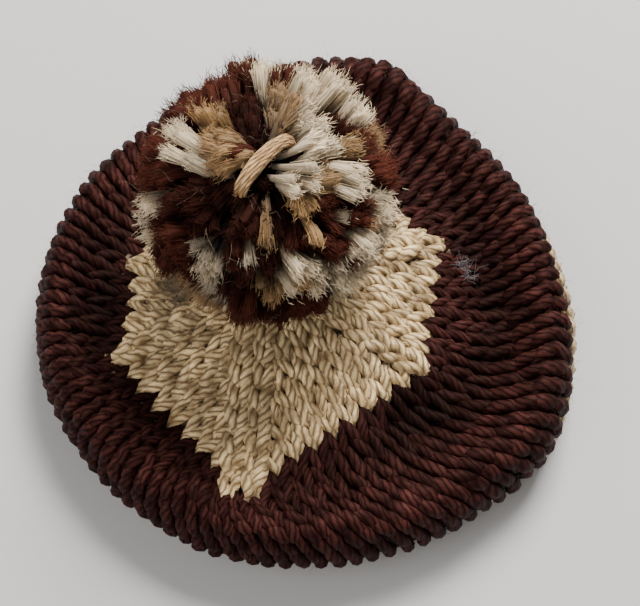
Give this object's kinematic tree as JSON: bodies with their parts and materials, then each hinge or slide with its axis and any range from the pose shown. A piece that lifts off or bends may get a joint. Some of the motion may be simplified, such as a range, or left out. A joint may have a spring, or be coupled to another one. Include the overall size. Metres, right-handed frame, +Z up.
{
  "type": "tam o shanter",
  "caption": "Small knitted tam o shanter: a soft ribbed disc with a light star on its dark crown, a light underside, a narrow band and a pompom tied on top.",
  "frame": {"origin": "on the surface that the hat rests on, below the middle of its box", "axes": "+Z up through the crown, +X to the viewer's right, +Y away from the viewer, towards the blunt corner of the rim"},
  "size_m": [0.1098, 0.1134, 0.0682],
  "materials": {
    "light_yarn": "soft beige knitting yarn, plied, with a faint sheen",
    "dark_yarn": "soft dark brown knitting yarn, plied, with a faint sheen",
    "pompom_yarn": "cut brown, tan and cream yarn ends, fuzzy",
    "tan_yarn": "twisted tan yarn with a faint sheen"
  },
  "bodies": {
    "root": {"crown_star": "light_yarn", "crown_ring": "dark_yarn", "underside": "light_yarn", "headband": "light_yarn", "pompom": "pompom_yarn", "pompom_tie": "tan_yarn"}
  },
  "joints": []
}
